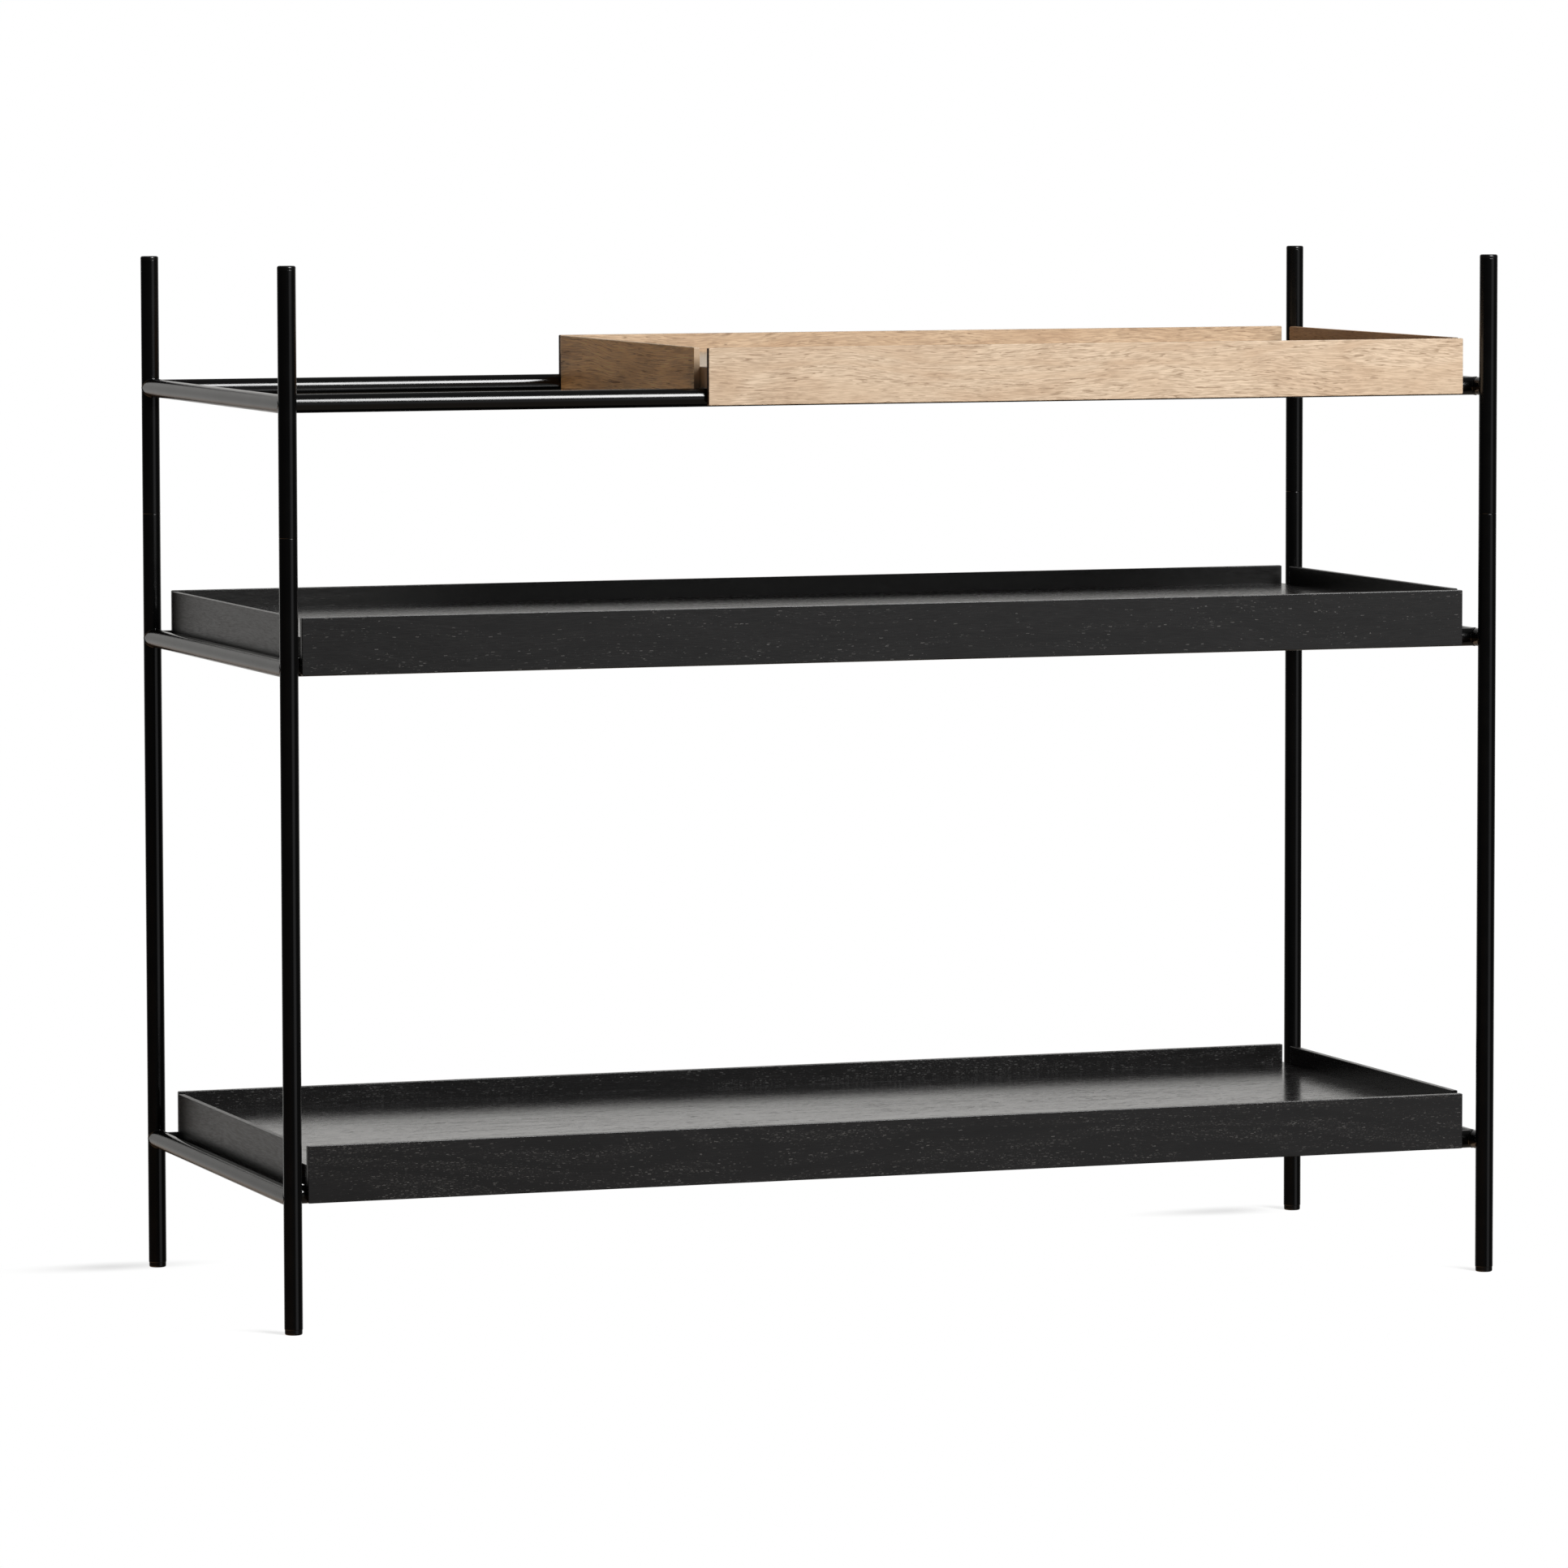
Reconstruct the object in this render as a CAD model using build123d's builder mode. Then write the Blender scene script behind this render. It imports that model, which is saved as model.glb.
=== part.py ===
from build123d import *

import os

# Three-level open shelf: a welded frame of round steel tube that carries three loose oak trays.
#
# Millimetres, +Z up, +X to the right, +Y to the back. The origin is the centre of the footprint,
# on the floor. The frame is two welded modules, joined at a seam in each post.

# ---- Frame ---------------------------------------------------------------------------------
overall_height = 810.0  # floor to the top of the end caps
post_span_x = 987.0  # left to right, centre to centre
post_span_y = 392.5  # front to back, centre to centre
tube_d = 14.2  # 14 mm tube with its powder coat
tube_wall = 1.2
rail_inset = 21.75  # the long rails stand this far inboard of the posts' centre plane
weld_gap = 0.05  # root gap between a rail's saddle-cut end and the tube it is welded to
seam_z = 605.0  # where the upper module plugs into the lower one
level_z = {"bottom": 104.0, "middle": 506.0, "top": 705.5}  # centre of each level's rails

# ---- Plugs in the tube ends, and the pins in the seams ----------------------------------------
foot_d = 13.6
foot_h = 4.0
foot_round = 1.2
cap_d = tube_d
cap_h = 3.0
cap_round = 1.5
stem_clearance = 0.5  # on the radius, between a plug's core and the bore
stem_length = 16.0
fin_t = 1.0
fin_pitch = 4.0
fin_count = 3
pin_length = 70.0
pin_clearance = 0.1  # on the radius
pin_chamfer = 1.0
tube_edge_r = 0.4  # each post's ends, outside

# ---- Trays -----------------------------------------------------------------------------------
floor_t = 16.0
floor_depth = 364.0
rest_gap = 0.3  # between a tray's underside and the rails it rests on
rim_t = 5.0
rim_h = 44.0
rim_drop = 5.8  # a rim's lower edge, below the rails' centre
notch = 16.0  # what a short rim leaves free at each end, where the long rails pass
rim_corner_r = 1.0
rim_edge_r = 0.5
full_length = 957.0  # floor panel of the bottom and middle trays
short_length = 631.0  # floor panel of the top tray
tray_centre_x = {"bottom": 0.0, "middle": -2.0, "top": 160.5}

# ---- Worked out from the above ---------------------------------------------------------------
tube_r = tube_d / 2
bore_r = tube_r - tube_wall
post_x = post_span_x / 2
post_y = post_span_y / 2
rail_y = post_y - rail_inset
tray_length = {"bottom": full_length, "middle": full_length, "top": short_length}
corners = {
    "front_left": (-post_x, -post_y),
    "front_right": (post_x, -post_y),
    "back_left": (-post_x, post_y),
    "back_right": (post_x, post_y),
}

UP = (0, 0, 1)
DOWN = (0, 0, -1)
ALONG_X = (1, 0, 0)
ALONG_Y = (0, 1, 0)

os.makedirs("parts", exist_ok=True)


def save(piece, label):
    """Label a finished sub-part and write its STEP file."""
    piece.part.label = label
    export_step(piece.part, f"parts/{label}.step")


def make_post(label, x, y, bottom, top):
    """One straight length of upright tube, its outer edges rounded at both ends."""
    with BuildPart() as post:
        with BuildSketch(Plane(origin=(x, y, bottom))):
            Circle(tube_r)
            Circle(bore_r, mode=Mode.SUBTRACT)
        extrude(amount=top - bottom)
        end_circles = post.edges().filter_by(GeomType.CIRCLE)
        fillet(end_circles.group_by(SortBy.RADIUS)[-1], tube_edge_r)
    save(post, label)


def make_rail(label, centre, along, half_length, across):
    """A rail whose two ends are saddle-cut to the tubes, lying across it, that it is welded to."""
    with BuildPart() as rail:
        with BuildSketch(Plane(origin=centre, z_dir=along)):
            Circle(tube_r)
            Circle(bore_r, mode=Mode.SUBTRACT)
        extrude(amount=half_length, both=True)
        for side in (-1, 1):
            joint = Vector(centre) + Vector(along) * (side * half_length)
            with BuildSketch(Plane(origin=joint, z_dir=across)):
                Circle(tube_r + weld_gap)
            extrude(amount=tube_d, both=True, mode=Mode.SUBTRACT)
    save(rail, label)


def make_plug(label, x, y, face_z, inwards, head_d, head_h, head_round):
    """A moulded tube plug: a rounded head outside the tube and a finned stem inside it."""
    reach = 1 if inwards == UP else -1
    with BuildPart() as plug:
        with BuildSketch(Plane(origin=(x, y, face_z), z_dir=inwards)):
            Circle(head_d / 2)
        extrude(amount=head_h)
        outer_rim = plug.edges().group_by(Axis.Z)[0 if reach == 1 else -1]
        fillet(outer_rim, head_round)
        root_z = face_z + reach * head_h
        with BuildSketch(Plane(origin=(x, y, root_z), z_dir=inwards)):
            Circle(bore_r - stem_clearance)
        extrude(amount=stem_length)
        for fin in range(1, fin_count + 1):
            fin_z = root_z + reach * fin * fin_pitch
            with BuildSketch(Plane(origin=(x, y, fin_z), z_dir=inwards)):
                Circle(bore_r)
            extrude(amount=fin_t)
    save(plug, label)


def make_joint_pin(label, x, y):
    """The steel pin that aligns the upper module's post on the lower one, half of it in each."""
    with BuildPart() as pin:
        with BuildSketch(Plane(origin=(x, y, seam_z))):
            Circle(bore_r - pin_clearance)
        extrude(amount=pin_length / 2, both=True)
        chamfer(pin.edges().filter_by(GeomType.CIRCLE), pin_chamfer)
    save(pin, label)


def make_board(label, plane, width, height):
    """A thin rim board, its outline on the plane, with small corner radii and eased edges."""
    with BuildPart() as board:
        with BuildSketch(plane):
            RectangleRounded(width, height, rim_corner_r)
        extrude(amount=rim_t)
        faces = board.faces().filter_by(Axis(plane.origin, plane.z_dir))
        fillet(faces.edges(), rim_edge_r)
    save(board, label)


def make_tray(level):
    """A tray: a floor panel that lies on the two long rails, and four rims glued to its edges."""
    name = f"{level}_tray"
    length = tray_length[level]
    centre_x = tray_centre_x[level]
    rail_z = level_z[level]
    underside = rail_z + tube_r + rest_gap
    rim_mid_z = rail_z - rim_drop + rim_h / 2

    with BuildPart() as floor:
        with BuildSketch(Plane(origin=(centre_x, 0, underside))):
            Rectangle(length, floor_depth)
        extrude(amount=floor_t)
        fillet(floor.edges().filter_by(Axis.Z), rim_corner_r)
    save(floor, f"{name}_floor")

    # The long rims cover the long rails from outside; the short rims hang between the rails.
    for side, facing in (("front", -1), ("back", 1)):
        origin = (centre_x, facing * floor_depth / 2, rim_mid_z)
        plane = Plane(origin=origin, x_dir=ALONG_X, z_dir=(0, facing, 0))
        make_board(f"{name}_{side}_rim", plane, length, rim_h)
    for side, facing in (("left", -1), ("right", 1)):
        origin = (centre_x + facing * length / 2, 0, rim_mid_z)
        plane = Plane(origin=origin, x_dir=ALONG_Y, z_dir=(facing, 0, 0))
        make_board(f"{name}_{side}_rim", plane, floor_depth - 2 * notch, rim_h)


for corner, (x, y) in corners.items():
    make_post(f"lower_post_{corner}", x, y, foot_h, seam_z)
    make_post(f"upper_post_{corner}", x, y, seam_z, overall_height - cap_h)
    make_joint_pin(f"joint_pin_{corner}", x, y)
    make_plug(f"foot_plug_{corner}", x, y, 0, UP, foot_d, foot_h, foot_round)
    make_plug(f"top_cap_{corner}", x, y, overall_height, DOWN, cap_d, cap_h, cap_round)

for level, z in level_z.items():
    for side, x in (("left", -post_x), ("right", post_x)):
        make_rail(f"{level}_{side}_end_rail", (x, 0, z), ALONG_Y, post_y, UP)
    for side, y in (("front", -rail_y), ("back", rail_y)):
        make_rail(f"{level}_{side}_rail", (0, y, z), ALONG_X, post_x, ALONG_Y)
    make_tray(level)
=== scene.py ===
import math

import bmesh
import bpy
from mathutils import Matrix, Vector


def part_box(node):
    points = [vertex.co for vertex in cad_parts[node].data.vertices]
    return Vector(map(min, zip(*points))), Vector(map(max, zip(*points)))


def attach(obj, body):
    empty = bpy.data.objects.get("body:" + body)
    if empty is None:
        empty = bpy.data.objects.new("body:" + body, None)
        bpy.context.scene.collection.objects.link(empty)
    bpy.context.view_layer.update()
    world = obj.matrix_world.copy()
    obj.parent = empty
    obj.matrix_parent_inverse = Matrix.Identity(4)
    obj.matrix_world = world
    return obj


# The looks of a three-level tray shelf: black powder-coated steel tube, black-stained and natural oak.
# Metres, +X right, +Y back, +Z up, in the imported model's own frame.

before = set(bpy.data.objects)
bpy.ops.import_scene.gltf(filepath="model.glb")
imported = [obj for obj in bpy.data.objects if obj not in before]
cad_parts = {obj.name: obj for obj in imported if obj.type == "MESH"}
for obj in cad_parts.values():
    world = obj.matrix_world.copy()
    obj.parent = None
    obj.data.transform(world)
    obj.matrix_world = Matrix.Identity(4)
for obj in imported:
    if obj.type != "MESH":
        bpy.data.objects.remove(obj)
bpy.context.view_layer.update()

LEVELS = ("bottom", "middle", "top")
CORNERS = ("front_left", "front_right", "back_left", "back_right")
MM = 0.001

# ---- Camera: where the photographer stood, and the angles of the optical axis (radians) -------------
CAMERA_AT = (-2.2434, -6.2731, 0.9451)
CAMERA_YAW = 0.3394
CAMERA_PITCH = 0.0832
CAMERA_ROLL = -0.0021
SENSOR_MM = 36.0
LENS_MM = 192.65
CLIP_END = 100.0

# ---- Studio --------------------------------------------------------------------------------------
KEY_DIRECTION = (0.33, -0.74, 0.60)  # from the shelf towards the softbox
KEY_DISTANCE = 4.2
KEY_WIDTH = 1.7
KEY_HEIGHT = 2.0
KEY_RADIANCE = 23.0
AIM = (0.0, 0.0, 0.45)
BACK_LIGHT = (0.76, 0.75, 0.73, 1)  # what the shelf sees behind it
BACK_DIRECTION = (0.333, 0.943, 0.0)
BACK_EDGE = (0.56, 0.95)  # cosines off that direction where the backdrop begins and is fully lit
FRONT_LIGHT = (0.035, 0.035, 0.035, 1)
TOP_LIGHT = (0.10, 0.10, 0.10, 1)
TOP_EDGE = (0.15, 0.55)  # the height, in a direction of length 1, over which it takes over
SPILL_DIRECTION = (0.509, -0.857, -0.080)  # a low patch of light, front right
SPILL_EDGE = (0.93, 0.99)
SPILL_LIGHT = (0.42, 0.42, 0.43, 1)
FRONT_FLOOR_LIGHT = (0.18, 0.155, 0.13, 1)
LEFT_FLOOR_LIGHT = (0.80, 0.47, 0.26, 1)
FLOOR_TURN = (0.2, -0.8)  # the x over which the front floor's light gives way to the left floor's
FLOOR_EDGE = (-0.36, -0.16)  # the height over which the floor's light gives way to the rest
FLOOR_RADIUS = 3.0
FLOOR_SIDES = 96
PAINTED_FOOT_SHADOW_AT = (-0.045, 0.012)  # the middle of the painted ellipse left of each foot where the floor shows the real shadow, from the foot
PAINTED_FOOT_SHADOW_REACH = (0.110, 0.034)
FLOOR_ALBEDO = 0.42
FLOOR_GLOW = 0.72
OPEN_GLOW = 1.0


class Tree:
    """Short-hand for one node tree."""

    def __init__(self, node_tree):
        self.nodes = node_tree.nodes
        self.links = node_tree.links

    def feed(self, socket, value):
        """Link a socket to another one, or set its value."""
        if isinstance(value, bpy.types.NodeSocket):
            self.links.new(value, socket)
        else:
            socket.default_value = value

    def node(self, kind, inputs=None, **settings):
        made = self.nodes.new(kind)
        for name, value in settings.items():
            setattr(made, name, value)
        for key, value in (inputs or {}).items():
            self.feed(made.inputs[key], value)
        return made

    def math(self, operation, first, second=0.0, third=0.0):
        inputs = {0: first, 1: second, 2: third}
        return self.node("ShaderNodeMath", inputs, operation=operation).outputs[0]

    def span(self, value, low, high, to_low=0.0, to_high=1.0):
        """Map low..high to to_low..to_high, smoothly and held at both ends."""
        inputs = {"Value": value, "From Min": low, "From Max": high, "To Min": to_low, "To Max": to_high}
        made = self.node("ShaderNodeMapRange", inputs, interpolation_type="SMOOTHSTEP")
        return made.outputs["Result"]

    def vector(self, x, y, z):
        return self.node("ShaderNodeCombineXYZ", {"X": x, "Y": y, "Z": z}).outputs[0]

    def times(self, vector, scale):
        return self.node("ShaderNodeVectorMath", {0: vector, "Scale": scale}, operation="SCALE").outputs[0]

    def random(self, first, second, seed):
        """An even random number from 0 to 1 for each pair of whole numbers."""
        inputs = {"Vector": self.vector(first, second, seed)}
        return self.node("ShaderNodeTexWhiteNoise", inputs).outputs["Value"]

    def noise(self, vector, seed, detail=2.0):
        inputs = {"Vector": vector, "W": seed, "Scale": 1.0, "Detail": detail}
        return self.node("ShaderNodeTexNoise", inputs, noise_dimensions="4D").outputs[0]

    def drawn_out(self, u, v, w, per_metre, seed, detail=2.0):
        """Noise drawn out along u: its features per metre along u, then across it."""
        along, across = per_metre
        u = self.math("MULTIPLY", u, along)
        v = self.math("MULTIPLY", v, across)
        w = self.math("MULTIPLY", w, across)
        return self.noise(self.vector(u, v, w), seed, detail)

    def mix(self, factor, first, second, blend="MIX"):
        made = self.node("ShaderNodeMix", data_type="RGBA", blend_type=blend)
        self.feed(made.inputs[0], factor)
        self.feed(made.inputs[6], first)
        self.feed(made.inputs[7], second)
        return made.outputs[2]


def new_material(name):
    """A material with a Principled shader, its tree and that shader."""
    material = bpy.data.materials.new(name)
    material.use_nodes = True
    return material, Tree(material.node_tree), material.node_tree.nodes["Principled BSDF"]


def grey(value):
    return (value, value, value, 1.0)


# ---- Steel, its powder coat, and the plastic plugs --------------------------------------------------
NOISE_CORE = (0.3, 0.7)  # where most of a noise's values lie
PEEL_PER_METRE = 1400.0
DRIFT_PER_METRE = 45.0
COAT_GREY = (0.0009, 0.0016)
COAT_ROUGH = (0.155, 0.195)
PEEL_STRENGTH = 0.05
GRIT_PER_METRE = 2600.0
PLASTIC_GREY = (0.0015, 0.0028)
PLASTIC_ROUGH = (0.20, 0.28)
GRIT_STRENGTH = 0.25
RELIEF_DEPTH = 0.05 * MM
DRAW_LINES_PER_METRE = (60.0, 3500.0)  # along the bar, across it
STEEL_GREY = (0.42, 0.56)
STEEL_ROUGH = (0.28, 0.42)


def powder_coat():
    """Satin black powder coat: a fine orange peel, and a gloss that drifts a little."""
    material, tree, shader = new_material("black_powder_coat")
    place = tree.node("ShaderNodeTexCoord").outputs["Object"]
    peel = tree.noise(tree.times(place, PEEL_PER_METRE), 1.0, detail=1.0)
    drift = tree.noise(tree.times(place, DRIFT_PER_METRE), 2.0, detail=3.0)
    dark, light = COAT_GREY
    tree.feed(shader.inputs["Base Color"], tree.mix(drift, grey(dark), grey(light)))
    tree.feed(shader.inputs["Roughness"], tree.span(drift, *NOISE_CORE, *COAT_ROUGH))
    inputs = {"Height": peel, "Strength": PEEL_STRENGTH, "Distance": RELIEF_DEPTH}
    tree.feed(shader.inputs["Normal"], tree.node("ShaderNodeBump", inputs).outputs[0])
    return material


def moulded_plastic():
    """Black polyethylene with a fine spark-eroded texture."""
    material, tree, shader = new_material("moulded_black_plastic")
    place = tree.node("ShaderNodeTexCoord").outputs["Object"]
    grit = tree.noise(tree.times(place, GRIT_PER_METRE), 3.0)
    dark, light = PLASTIC_GREY
    tree.feed(shader.inputs["Base Color"], tree.mix(grit, grey(dark), grey(light)))
    tree.feed(shader.inputs["Roughness"], tree.span(grit, *NOISE_CORE, *PLASTIC_ROUGH))
    inputs = {"Height": grit, "Strength": GRIT_STRENGTH, "Distance": RELIEF_DEPTH}
    tree.feed(shader.inputs["Normal"], tree.node("ShaderNodeBump", inputs).outputs[0])
    return material


def drawn_steel():
    """Bright drawn steel bar: draw lines along Z."""
    material, tree, shader = new_material("drawn_steel")
    place = tree.node("ShaderNodeTexCoord").outputs["Object"]
    split = tree.node("ShaderNodeSeparateXYZ", {0: place})
    along, across = DRAW_LINES_PER_METRE
    x = tree.math("MULTIPLY", split.outputs[0], across)
    y = tree.math("MULTIPLY", split.outputs[1], across)
    z = tree.math("MULTIPLY", split.outputs[2], along)
    lines = tree.noise(tree.vector(x, y, z), 4.0)
    shader.inputs["Metallic"].default_value = 1.0
    dark, light = STEEL_GREY
    tree.feed(shader.inputs["Base Color"], tree.mix(lines, grey(dark), grey(light)))
    tree.feed(shader.inputs["Roughness"], tree.span(lines, *NOISE_CORE, *STEEL_ROUGH))
    return material


# ---- Oak -----------------------------------------------------------------------------------------
# The keys of a look:
# early, late: the two tones of a ring
# patch, light_line, dark_line: what a broad patch, a light line and a dark line of the grain multiply
#     those tones by
# pore, pore_mix: the colour of the pores' dashes, and how much of it covers the wood
# pores, pore_length: the share of the cells that hold a pore where pores are thickest, and a cell's length
# pore_rough, pore_depth, pore_strength: a pore's extra roughness, and its relief
# stretch: how much longer than usual the features along the grain are
# rough: the smoothest and the dullest fibre
NATURAL = {
    "early": (0.545, 0.428, 0.312, 1),
    "late": (0.515, 0.398, 0.284, 1),
    "patch": (0.87, 0.82, 0.78, 1),
    "light_line": (1.16, 1.16, 1.15, 1),
    "dark_line": (0.56, 0.50, 0.43, 1),
    "pore": (0.300, 0.195, 0.118, 1),
    "pores": 0.42,
    "pore_mix": 0.40,
    "pore_length": 9.0 * MM,
    "pore_rough": 0.20,
    "stretch": 1.0,
    "rough": (0.50, 0.62),
    "pore_depth": 0.06 * MM,
    "pore_strength": 0.30,
}
BLACK = {
    "early": (0.0084, 0.0079, 0.0078, 1),
    "late": (0.0070, 0.0066, 0.0065, 1),
    "patch": (0.88, 0.88, 0.88, 1),
    "light_line": (1.15, 1.15, 1.15, 1),
    "dark_line": (0.75, 0.75, 0.75, 1),
    "pore": (0.0950, 0.0930, 0.0900, 1),
    "pores": 0.55,
    "pore_mix": 0.85,
    "pore_length": 4.2 * MM,
    "pore_rough": 0.15,
    "stretch": 1.0,
    "rough": (0.22, 0.28),
    "pore_depth": 0.08 * MM,
    "pore_strength": 0.4,
}
# For the top tray's left rim, which lies in shade: darker patches and dark lines, painted shade, with
# brighter light lines and features drawn out longer.
PAINTED_SHADE_NATURAL = dict(
    NATURAL,
    patch=(0.66, 0.60, 0.54, 1),
    light_line=(1.30, 1.28, 1.24, 1),
    dark_line=(0.40, 0.34, 0.28, 1),
    stretch=2.4,
)
GLOSSY_NATURAL = dict(NATURAL, rough=(0.30, 0.38))
PLAIN_BLACK = dict(
    BLACK,
    early=(0.0100, 0.0098, 0.0097, 1),
    late=(0.0088, 0.0086, 0.0085, 1),
    pores=0.12,
)
# For the middle tray's back and side rims and the bottom tray's left rim, which lie in shade: darker wood
# and darker, fewer pores, painted shade, and a rougher finish.
PAINTED_SHADE_BLACK = dict(
    BLACK,
    early=(0.0060, 0.0056, 0.0053, 1),
    late=(0.0050, 0.0047, 0.0045, 1),
    pore=(0.0120, 0.0110, 0.0100, 1),
    pores=0.22,
    rough=(0.28, 0.36),
)
FLOOR_BLACK = dict(
    BLACK,
    pore=(0.0060, 0.0058, 0.0055, 1),
    pore_length=10.0 * MM,
    pore_rough=0.50,
    rough=(0.12, 0.18),
)
SHADED_FLOOR_BLACK = dict(FLOOR_BLACK, rough=(0.18, 0.24))
PLAIN = (1.0, 1.0, 1.0, 1)
DARK_END = (0.06, 0.035, 0.022, 1)  # what the end grain of a long rim keeps of the wood's tone: very little, near black
OPEN_END = (0.80, 0.74, 0.66, 1)
END_EDGE = (0.6, 0.8)  # how squarely a face must lie across the grain to show end grain
SIDE_EDGE = (0.3, 0.6)  # how squarely a face must look to one side to take the painted light meant for that side
END_DOT_PITCH = 0.45 * MM
END_DOT_EDGE = (0.55, 0.65)
END_DOT_SHADE = 0.75

# Each noise: its features per metre along the grain, and across it.
LONG_WAVE = (4.0, 14.0)
SHORT_WAVE = (22.0, 60.0)
FIGURE = (2.6, 17.0)
PORE_CROWD = (6.0, 125.0)
PATCHES = (17.0, 46.0)
FIBRE = (90.0, 1500.0)
RIDGES = (22.0, 520.0)
RIDGE_BREAKS = (120.0, 520.0)

# What is made of them: where a noise sets in and where it is full, how far it goes, how much it counts.
LONG_WAVE_REACH = 34 * MM
SHORT_WAVE_REACH = 3.5 * MM
RING_COUNT = 9.0  # contours of the figure between its lowest and its highest place
LATE_START = (0.30, 0.80)  # the part of a ring over which its late wood builds up
LATE_STOP = (0.86, 1.0)  # and the part over which it ends
CROWD_EDGE = (0.40, 0.64)
CROWD_LEAST = 0.16
LATE_PORE_LOSS = 0.72
LATE_GRAIN_LOSS = 0.35
LATE_PATCH = 0.25
PATCH_EDGE = (0.42, 0.66)
PATCH_MOST = 0.75
RIDGE_EDGE = (0.040, 0.010)
BREAK_EDGE = (0.40, 0.56)
FIBRE_EDGE = (0.62, 0.38)
FIBRE_MOST = 0.55
GRAIN_RELIEF = 0.4  # of a pore's depth

PORE_PITCH = 1.05 * MM  # between the lines that the pores lie on
PORE_WIDTH = 0.34  # of that pitch
PORE_FULL_WIDTH = 0.4  # of the pore's width, where it is at full strength
PORE_HALF_LENGTH = (0.16, 0.28)  # the shortest, and how much longer the longest is, in cells
PORE_TAPER = 0.12  # in cells
PORE_WANDER = 0.5  # off its line, in pitches
PORE_FAINTEST = 0.15
LINE_SHIFT = 37.0  # most cells that one line starts ahead of another
LUCK_SHUFFLE = 0.731  # two fractions that keep the random numbers of neighbouring lines apart
REACH_SHUFFLE = 0.417
SMALL_PORE_PITCH = 0.61  # the small pores, as shares of the large ones
SMALL_PORE_LENGTH = 0.55
SMALL_PORE_STRENGTH = 0.6


def pores(tree, u, v, w, seed, pitch, length, share):
    """Dashes along u: each line of the grain is cut into cells, and a share of them hold one dash."""
    across = tree.math("DIVIDE", v, pitch)
    line = tree.math("FLOOR", across)
    layer = tree.math("FLOOR", tree.math("DIVIDE", w, pitch))
    start = tree.random(line, layer, seed)
    along = tree.math("MULTIPLY_ADD", start, LINE_SHIFT, tree.math("DIVIDE", u, length))
    cell = tree.math("FLOOR", along)
    luck = tree.random(tree.math("MULTIPLY_ADD", line, LUCK_SHUFFLE, cell), layer, seed + 1.0)
    reach = tree.random(tree.math("MULTIPLY_ADD", line, REACH_SHUFFLE, cell), layer, seed + 2.0)
    held = tree.math("LESS_THAN", luck, share)
    middle = tree.math("ABSOLUTE", tree.math("SUBTRACT", tree.math("FRACT", along), 0.5))
    shortest, longer = PORE_HALF_LENGTH
    half = tree.math("MULTIPLY_ADD", reach, longer, shortest)
    long_way = tree.span(tree.math("SUBTRACT", half, middle), 0.0, PORE_TAPER)
    offset = tree.math("MULTIPLY", tree.math("SUBTRACT", reach, 0.5), PORE_WANDER)
    from_line = tree.math("SUBTRACT", tree.math("FRACT", across), 0.5)
    short_way = tree.math("ABSOLUTE", tree.math("SUBTRACT", from_line, offset))
    short_way = tree.span(short_way, PORE_WIDTH, PORE_WIDTH * PORE_FULL_WIDTH)
    rank = tree.math("POWER", tree.math("DIVIDE", luck, share), 2.0)
    strength = tree.math("MULTIPLY_ADD", rank, 1.0 - PORE_FAINTEST, PORE_FAINTEST)
    dash = tree.math("MULTIPLY", tree.math("MULTIPLY", long_way, short_way), held)
    return tree.math("MULTIPLY", dash, strength)


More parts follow.
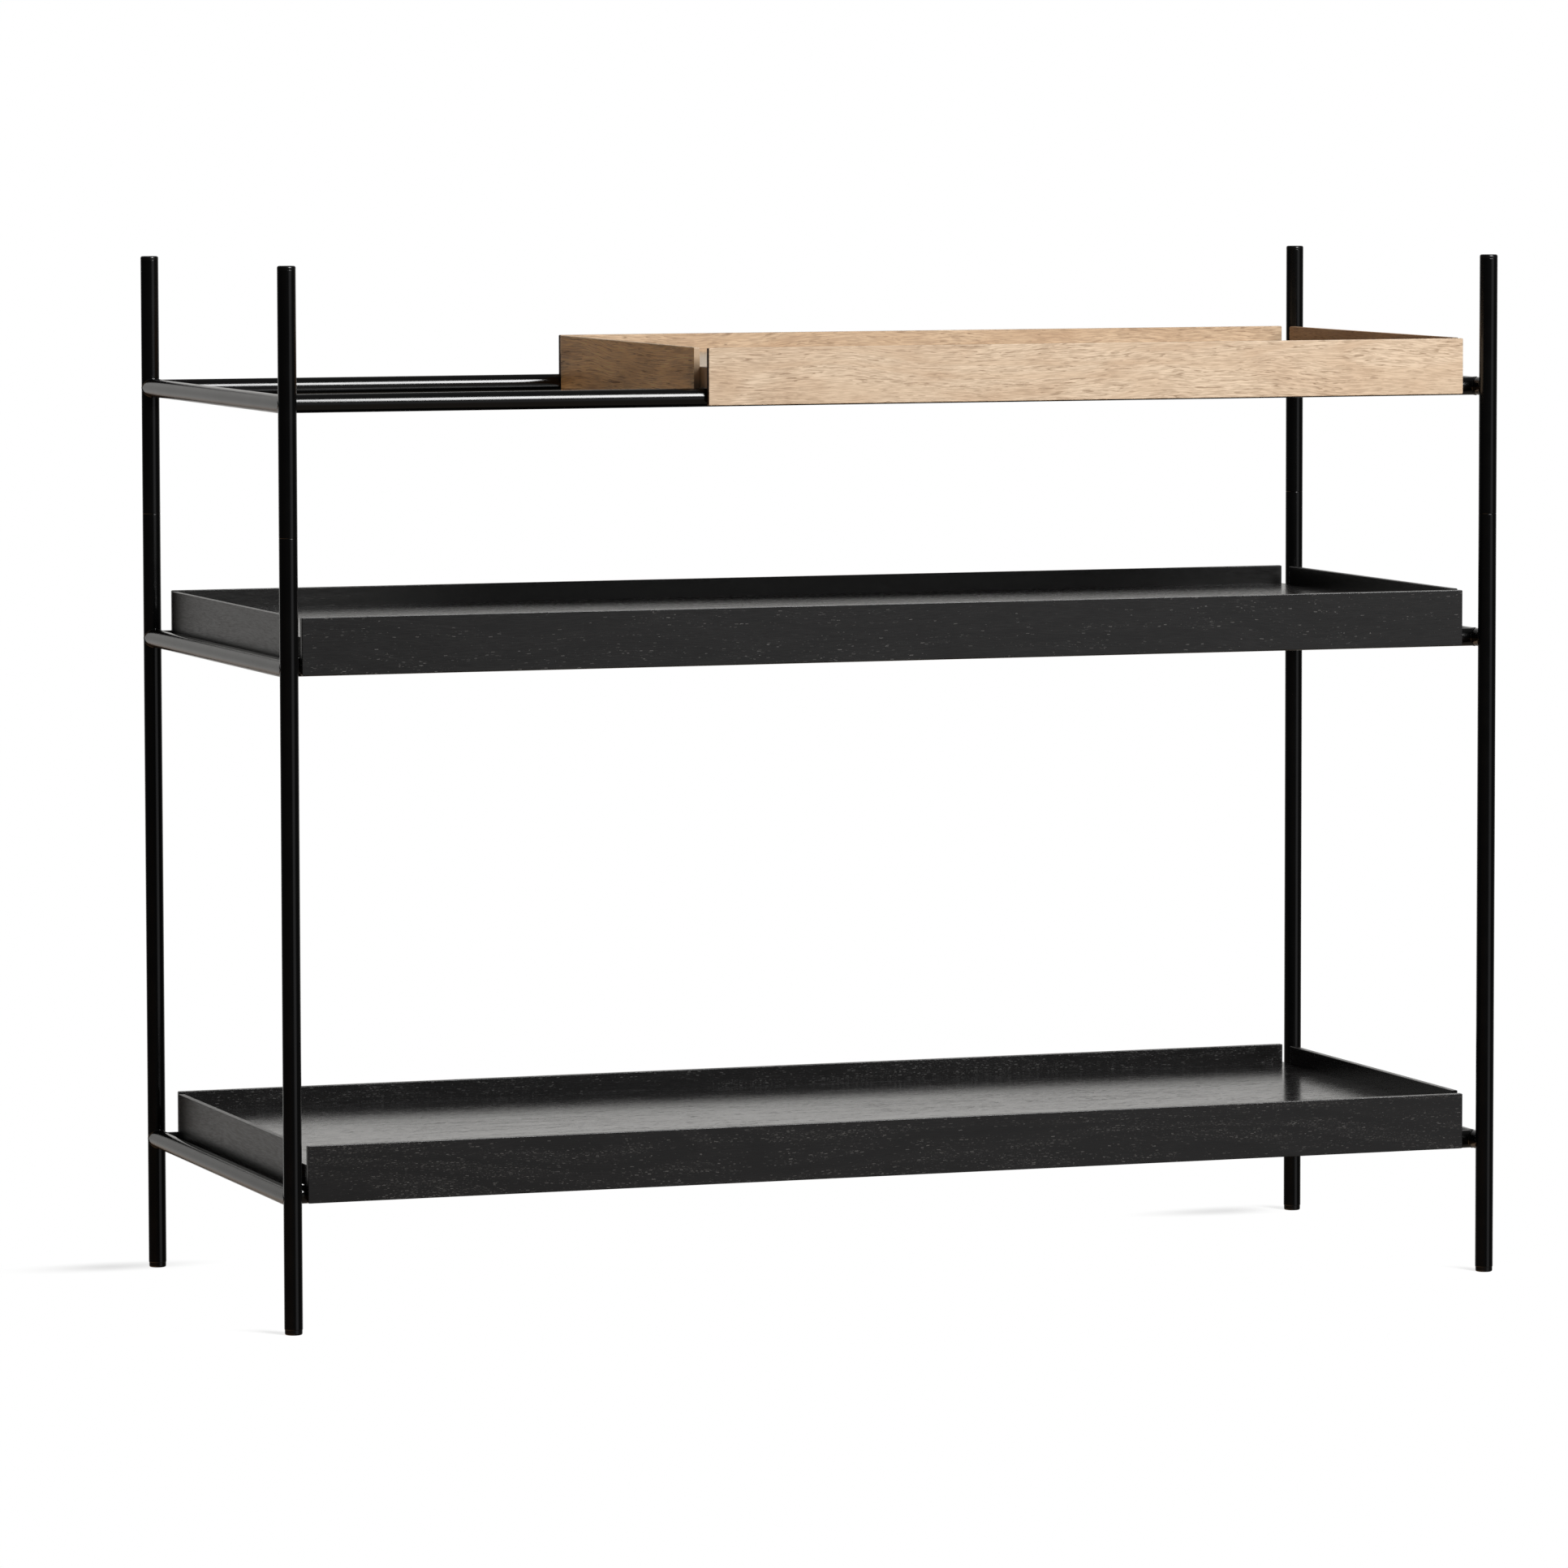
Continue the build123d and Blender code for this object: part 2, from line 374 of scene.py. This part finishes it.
def oak(name, centre, axes, look, seed, tone_and_painted_light=PLAIN, end=OPEN_END, leaf=None, painted_light_side=0):
    """Flat-cut oak veneer on one board. axes are those (0, 1 or 2) of the grain, of the board's width
    and of its thickness. Each noise takes the board's seed plus a number of its own. A leaf is the width
    of one strip of a book-matched face. The last argument is 0, or the sign of the face, along the
    thickness, that alone takes the colour multiplier: there it is painted light on a face in shade."""
    along, across, depth = axes
    material, tree, shader = new_material(name)
    coordinates = tree.node("ShaderNodeTexCoord")
    place = tree.node("ShaderNodeSeparateXYZ", {0: coordinates.outputs["Object"]})
    facing = tree.node("ShaderNodeSeparateXYZ", {0: coordinates.outputs["Normal"]})
    # Only the face on the chosen side takes the multiplier, as painted light on a face in shade.
    if painted_light_side:
        turned = tree.math("MULTIPLY", facing.outputs[depth], painted_light_side)
        tone_and_painted_light = tree.mix(tree.span(turned, *SIDE_EDGE), PLAIN, tone_and_painted_light)
    u = tree.math("SUBTRACT", place.outputs[along], centre[along])
    v = tree.math("SUBTRACT", place.outputs[across], centre[across])
    w = tree.math("SUBTRACT", place.outputs[depth], centre[depth])
    if leaf:
        v = tree.math("SUBTRACT", tree.math("PINGPONG", v, leaf), leaf / 2)

    # The grain wanders: long waves and short ones carry the figure and the pores with them.
    long_wave = tree.math("SUBTRACT", tree.drawn_out(u, v, w, LONG_WAVE, seed), 0.5)
    short_wave = tree.math("SUBTRACT", tree.drawn_out(u, v, w, SHORT_WAVE, seed + 1.0), 0.5)
    v_bent = tree.math("MULTIPLY_ADD", long_wave, LONG_WAVE_REACH, v)
    v_bent = tree.math("MULTIPLY_ADD", short_wave, SHORT_WAVE_REACH, v_bent)
    u_long = tree.math("MULTIPLY", u, 1 / look["stretch"])

    # The figure: contours of a slow field, drawn out along the grain, which close into cathedral arches.
    field = tree.drawn_out(u, v_bent, w, FIGURE, seed + 5.0, detail=1.0)
    ring = tree.math("FRACT", tree.math("MULTIPLY", field, RING_COUNT))
    late = tree.math("SUBTRACT", tree.span(ring, *LATE_START), tree.span(ring, *LATE_STOP))

    # Pores lie in lines along the grain, thick in the early wood and thin in the late wood.
    crowd = tree.drawn_out(u, v_bent, w, PORE_CROWD, seed + 7.0, detail=1.0)
    crowd = tree.span(crowd, *CROWD_EDGE, CROWD_LEAST, 1.0)
    share = tree.math("MULTIPLY_ADD", late, -LATE_PORE_LOSS, 1.0)
    share = tree.math("MULTIPLY", share, tree.math("MULTIPLY", crowd, look["pores"]))
    length = look["pore_length"]
    large = pores(tree, u_long, v_bent, w, seed + 9.0, PORE_PITCH, length, share)
    pitch = PORE_PITCH * SMALL_PORE_PITCH
    small = pores(tree, u_long, v_bent, w, seed + 13.0, pitch, length * SMALL_PORE_LENGTH, share)
    pore = tree.math("MAXIMUM", large, tree.math("MULTIPLY", small, SMALL_PORE_STRENGTH))

    # Broad soft patches.
    patch = tree.drawn_out(u_long, v_bent, w, PATCHES, seed + 2.0)
    patch = tree.math("MULTIPLY_ADD", late, LATE_PATCH, tree.span(patch, *PATCH_EDGE, 0.0, PATCH_MOST))

    # The fine streaks of the fibre, and thin dark lines, broken into pieces.
    fibre = tree.drawn_out(u_long, v_bent, w, FIBRE, seed + 3.0, detail=1.0)
    ridge = tree.drawn_out(u_long, v_bent, w, RIDGES, seed + 4.0)
    ridge = tree.span(tree.math("ABSOLUTE", tree.math("SUBTRACT", ridge, 0.5)), *RIDGE_EDGE)
    broken = tree.drawn_out(u_long, v_bent, w, RIDGE_BREAKS, seed + 6.0)
    line = tree.math("MULTIPLY", ridge, tree.span(broken, *BREAK_EDGE))
    grain = tree.math("MAXIMUM", line, tree.span(fibre, *FIBRE_EDGE, 0.0, FIBRE_MOST))
    grain = tree.math("MULTIPLY", grain, tree.math("MULTIPLY_ADD", late, -LATE_GRAIN_LOSS, 1.0))

    wood = tree.mix(late, look["early"], look["late"])
    wood = tree.mix(1.0, wood, tree.mix(patch, PLAIN, look["patch"]), "MULTIPLY")
    wood = tree.mix(1.0, wood, tree.mix(grain, look["light_line"], look["dark_line"]), "MULTIPLY")
    wood = tree.mix(tree.math("MULTIPLY", pore, look["pore_mix"]), wood, look["pore"])
    # The board's colour multiplier: its own tone, painted light or painted shade, as set per board.
    wood = tree.mix(1.0, wood, tone_and_painted_light, "MULTIPLY")

    # End grain shows on the faces across the grain: darker, with the pores as dots.
    on_end = tree.span(tree.math("ABSOLUTE", facing.outputs[along]), *END_EDGE)
    dot_y = tree.math("DIVIDE", v, END_DOT_PITCH)
    dot_z = tree.math("DIVIDE", w, END_DOT_PITCH)
    dot = tree.noise(tree.vector(0.0, dot_y, dot_z), seed + 4.0, detail=1.0)
    dot = tree.span(dot, *END_DOT_EDGE, 1.0, END_DOT_SHADE)
    end_wood = tree.mix(1.0, look["early"], end, "MULTIPLY")
    end_wood = tree.mix(1.0, end_wood, tree.vector(dot, dot, dot), "MULTIPLY")
    tree.feed(shader.inputs["Base Color"], tree.mix(on_end, wood, end_wood))

    sheen = tree.span(fibre, *NOISE_CORE, *look["rough"])
    tree.feed(shader.inputs["Roughness"], tree.math("MULTIPLY_ADD", pore, look["pore_rough"], sheen))
    relief = tree.math("MULTIPLY_ADD", grain, -GRAIN_RELIEF, tree.math("MULTIPLY", pore, -1.0))
    hollow = tree.math("MULTIPLY", relief, tree.math("SUBTRACT", 1.0, on_end))
    inputs = {"Height": hollow, "Strength": look["pore_strength"], "Distance": look["pore_depth"]}
    tree.feed(shader.inputs["Normal"], tree.node("ShaderNodeBump", inputs).outputs[0])
    return material


def give(node, material):
    """Put a material on a CAD node."""
    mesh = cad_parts[node].data
    mesh.materials.clear()
    mesh.materials.append(material)


def dress_frame():
    coat = powder_coat()
    plastic = moulded_plastic()
    steel = drawn_steel()
    for corner in CORNERS:
        give(f"lower_post_{corner}", coat)
        give(f"upper_post_{corner}", coat)
        give(f"foot_plug_{corner}", plastic)
        give(f"top_cap_{corner}", plastic)
        give(f"joint_pin_{corner}", steel)
    for level in LEVELS:
        for rail in ("left_end_rail", "right_end_rail", "front_rail", "back_rail"):
            give(f"{level}_{rail}", coat)
    return coat


LEAVES = 3  # of book-matched veneer on a floor panel
SEED_STEP = 17.0
# Colour multipliers per board; the top tray's back rim's is its own darker, warmer tone.
TONES_AND_PAINTED_LIGHT = {
    "top_tray_back_rim": (0.86, 0.80, 0.73, 1),
    # painted light: the left rim's outer face, which lies in shade, made much brighter
    "top_tray_left_rim": (1.72, 1.68, 1.32, 1),
    # painted shade: the whole right rim darker and redder
    "top_tray_right_rim": (0.80, 0.62, 0.46, 1),
}
# The face that alone takes the painted light:
PAINTED_LIGHT_SIDE = {"top_tray_left_rim": -1.0}  # its outer face
LOOKS = {
    "top_tray_floor": GLOSSY_NATURAL,
    "top_tray_left_rim": PAINTED_SHADE_NATURAL,
    "middle_tray_floor": SHADED_FLOOR_BLACK,
    "middle_tray_front_rim": PLAIN_BLACK,
    "bottom_tray_floor": FLOOR_BLACK,
    "middle_tray_back_rim": PAINTED_SHADE_BLACK,
    "middle_tray_left_rim": PAINTED_SHADE_BLACK,
    "middle_tray_right_rim": PAINTED_SHADE_BLACK,
    "bottom_tray_left_rim": PAINTED_SHADE_BLACK,
}


def dress_trays():
    x, y, z = 0, 1, 2
    boards = {
        "floor": (x, y, z),
        "front_rim": (x, z, y),
        "back_rim": (x, z, y),
        "left_rim": (y, z, x),
        "right_rim": (y, z, x),
    }
    seed = 0.0
    for level in LEVELS:
        for board, axes in boards.items():
            node = f"{level}_tray_{board}"
            low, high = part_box(node)
            width = high[axes[1]] - low[axes[1]]
            look = NATURAL if level == "top" else BLACK
            look = LOOKS.get(node, look)
            tone_and_painted_light = TONES_AND_PAINTED_LIGHT.get(node, PLAIN)
            end = DARK_END if board in ("front_rim", "back_rim") else OPEN_END
            leaf = width / LEAVES if board == "floor" else None
            seed += SEED_STEP
            painted_light_side = PAINTED_LIGHT_SIDE.get(node, 0)
            give(node, oak(node, (low + high) / 2, axes, look, seed, tone_and_painted_light, end, leaf, painted_light_side))


# ---- Weld beads ----------------------------------------------------------------------------------
BEAD_RADIUS = 0.75 * MM
BEAD_STEPS = 72
BEAD_SIDES = 10
BEAD_RIPPLES = 22
BEAD_RIPPLE_DEPTH = 0.06
BEAD_FLANK = 0.45  # its radius at the tube's flanks, as a share


def weld_bead(bm, joint, along, across, tube_r):
    """A rippled bead round a tube that ends, saddle-cut, on another tube of the same radius. joint is
    where the axes meet, along points from it into the welded tube, across is the other tube's axis."""
    side = along.cross(across)
    rings = []
    for step in range(BEAD_STEPS):
        turn = 2 * math.pi * step / BEAD_STEPS
        s, c = math.sin(turn), math.cos(turn)
        reach = tube_r * abs(c)
        point = joint + along * reach + side * (tube_r * s) + across * (tube_r * c)
        out_of_rail = side * s + across * c
        out_of_post = side * s + along * abs(c)
        ripple = 1 + BEAD_RIPPLE_DEPTH * math.sin(BEAD_RIPPLES * turn)
        radius = BEAD_RADIUS * (BEAD_FLANK + (1 - BEAD_FLANK) * abs(c)) * ripple
        first = (out_of_rail + out_of_post).normalized()
        path = (side * c - across * s - along * (s if c >= 0 else -s)).normalized()
        second = first.cross(path).normalized()
        ring = []
        for corner in range(BEAD_SIDES):
            angle = 2 * math.pi * corner / BEAD_SIDES
            offset = first * math.cos(angle) + second * math.sin(angle)
            ring.append(bm.verts.new(point + offset * radius))
        rings.append(ring)
    for step in range(BEAD_STEPS):
        here, there = rings[step], rings[(step + 1) % BEAD_STEPS]
        for corner in range(BEAD_SIDES):
            beside = (corner + 1) % BEAD_SIDES
            bm.faces.new((here[corner], there[corner], there[beside], here[beside]))


def piece_from(bm, name, material, body):
    """Turn a bmesh into a smooth-shaded piece that rides on a body."""
    bmesh.ops.recalc_face_normals(bm, faces=bm.faces)
    mesh = bpy.data.meshes.new(name)
    bm.to_mesh(mesh)
    bm.free()
    mesh.materials.append(material)
    for polygon in mesh.polygons:
        polygon.use_smooth = True
    piece = bpy.data.objects.new(name, mesh)
    bpy.context.scene.collection.objects.link(piece)
    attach(piece, body)


def middle_of(node):
    low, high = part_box(node)
    return (low + high) / 2


def weld_frame(coat):
    """Beads where the end rails meet the posts and where the long rails meet the end rails."""
    x, y, z = Vector((1, 0, 0)), Vector((0, 1, 0)), Vector((0, 0, 1))
    post_low, post_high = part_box("lower_post_back_right")
    tube_r = (post_high.x - post_low.x) / 2
    post = (post_low + post_high) / 2
    for level in LEVELS:
        for side, sign in (("left", -1), ("right", 1)):
            rail = middle_of(f"{level}_{side}_end_rail")
            bm = bmesh.new()
            for facing in (-1, 1):
                joint = Vector((rail.x, facing * post.y, rail.z))
                weld_bead(bm, joint, -facing * y, z, tube_r)
            for long_rail in ("front", "back"):
                joint = Vector((rail.x, middle_of(f"{level}_{long_rail}_rail").y, rail.z))
                weld_bead(bm, joint, -sign * x, y, tube_r)
            piece_from(bm, f"{level}_{side}_weld_beads", coat, "frame")


# ---- Studio --------------------------------------------------------------------------------------
def make_floor():
    """A pale disc that glows white. Only in a painted ellipse left of each foot is it lit by the lamps, so
    the shelf's real shadow shows there as a painted streak; it fades into the white surround.
    """
    bm = bmesh.new()
    bmesh.ops.create_circle(bm, cap_ends=True, segments=FLOOR_SIDES, radius=FLOOR_RADIUS)
    mesh = bpy.data.meshes.new("studio_floor")
    bm.to_mesh(mesh)
    bm.free()
    floor = bpy.data.objects.new("studio_floor", mesh)
    bpy.context.scene.collection.objects.link(floor)
    floor.visible_diffuse = False
    floor.visible_glossy = False

    material = bpy.data.materials.new("pale_floor")
    material.use_nodes = True
    tree = Tree(material.node_tree)
    tree.nodes.remove(tree.nodes["Principled BSDF"])
    place = tree.node("ShaderNodeSeparateXYZ", {0: tree.node("ShaderNodeTexCoord").outputs["Object"]})
    nearest = 1.0  # how far off the middle of the nearest painted foot-shadow ellipse is, in its reaches
    for corner in CORNERS:
        foot = middle_of(f"foot_plug_{corner}")
        shadow_x = foot.x + PAINTED_FOOT_SHADOW_AT[0]
        shadow_y = foot.y + PAINTED_FOOT_SHADOW_AT[1]
        x = tree.math("DIVIDE", tree.math("SUBTRACT", place.outputs[0], shadow_x), PAINTED_FOOT_SHADOW_REACH[0])
        y = tree.math("DIVIDE", tree.math("SUBTRACT", place.outputs[1], shadow_y), PAINTED_FOOT_SHADOW_REACH[1])
        inputs = {0: tree.vector(x, y, 0.0)}
        reach = tree.node("ShaderNodeVectorMath", inputs, operation="LENGTH").outputs["Value"]
        nearest = tree.math("MINIMUM", nearest, reach)
    # Inside the ellipses the floor is lit and shows the real shadow, outside it glows evenly white: the
    # streak shape of each foot's shadow is painted.
    open_floor = tree.span(nearest, 0.0, 1.0)
    lit = tree.node("ShaderNodeBsdfDiffuse", {"Color": grey(FLOOR_ALBEDO)}).outputs[0]
    glow = tree.node("ShaderNodeEmission", {"Strength": FLOOR_GLOW}).outputs[0]
    near_look = tree.node("ShaderNodeAddShader", {0: lit, 1: glow}).outputs[0]
    far_look = tree.node("ShaderNodeEmission", {"Strength": OPEN_GLOW}).outputs[0]
    blend = tree.node("ShaderNodeMixShader", {0: open_floor, 1: near_look, 2: far_look})
    tree.feed(tree.nodes["Material Output"].inputs["Surface"], blend.outputs[0])
    mesh.materials.append(material)


def make_surround():
    """White to the eye. What it throws on the shelf is bright behind it and dim in front and above."""
    world = bpy.data.worlds.new("studio")
    bpy.context.scene.world = world
    world.use_nodes = True
    tree = Tree(world.node_tree)
    direction = tree.node("ShaderNodeTexCoord").outputs["Generated"]
    split = tree.node("ShaderNodeSeparateXYZ", {0: direction})
    inputs = {0: direction, 1: BACK_DIRECTION}
    behind = tree.node("ShaderNodeVectorMath", inputs, operation="DOT_PRODUCT").outputs["Value"]
    around = tree.mix(tree.span(behind, *BACK_EDGE), FRONT_LIGHT, BACK_LIGHT)
    upper = tree.mix(tree.span(split.outputs[2], *TOP_EDGE), around, TOP_LIGHT)
    ground = tree.mix(tree.span(split.outputs[0], *FLOOR_TURN), FRONT_FLOOR_LIGHT, LEFT_FLOOR_LIGHT)
    thrown = tree.mix(tree.span(split.outputs[2], *FLOOR_EDGE), ground, upper)
    inputs = {0: direction, 1: SPILL_DIRECTION}
    spill = tree.node("ShaderNodeVectorMath", inputs, operation="DOT_PRODUCT").outputs["Value"]
    thrown = tree.mix(tree.span(spill, *SPILL_EDGE), thrown, SPILL_LIGHT)
    seen = tree.node("ShaderNodeLightPath").outputs["Is Camera Ray"]
    colour = tree.mix(seen, thrown, grey(1.0))
    background = tree.nodes["Background"]
    tree.feed(background.inputs["Color"], colour)
    background.inputs["Strength"].default_value = 1.0


def make_key():
    """The softbox, to the right of the camera and above it."""
    light = bpy.data.lights.new("softbox", "AREA")
    light.shape = "RECTANGLE"
    light.size = KEY_WIDTH
    light.size_y = KEY_HEIGHT
    light.energy = KEY_RADIANCE * math.pi * KEY_WIDTH * KEY_HEIGHT
    lamp = bpy.data.objects.new("softbox", light)
    towards = Vector(KEY_DIRECTION).normalized()
    lamp.location = Vector(AIM) + towards * KEY_DISTANCE
    lamp.rotation_euler = towards.to_track_quat("Z", "Y").to_euler()
    lamp.visible_camera = False
    bpy.context.scene.collection.objects.link(lamp)


def make_camera():
    data = bpy.data.cameras.new("camera")
    data.sensor_width = SENSOR_MM
    data.lens = LENS_MM
    data.clip_end = CLIP_END
    camera = bpy.data.objects.new("camera", data)
    level = math.cos(CAMERA_PITCH)
    ahead = Vector((math.sin(CAMERA_YAW) * level, math.cos(CAMERA_YAW) * level, -math.sin(CAMERA_PITCH)))
    right = Vector((math.cos(CAMERA_YAW), -math.sin(CAMERA_YAW), 0.0))
    up = right.cross(ahead)
    rolled_right = math.cos(CAMERA_ROLL) * right + math.sin(CAMERA_ROLL) * up
    rolled_up = math.cos(CAMERA_ROLL) * up - math.sin(CAMERA_ROLL) * right
    camera.matrix_world = Matrix(
        (
            (rolled_right.x, rolled_up.x, -ahead.x, CAMERA_AT[0]),
            (rolled_right.y, rolled_up.y, -ahead.y, CAMERA_AT[1]),
            (rolled_right.z, rolled_up.z, -ahead.z, CAMERA_AT[2]),
            (0, 0, 0, 1),
        )
    )
    bpy.context.scene.collection.objects.link(camera)
    bpy.context.scene.camera = camera


make_camera()
coat = dress_frame()
dress_trays()
weld_frame(coat)
make_floor()
make_surround()
make_key()
bpy.context.scene.view_settings.view_transform = "Standard"
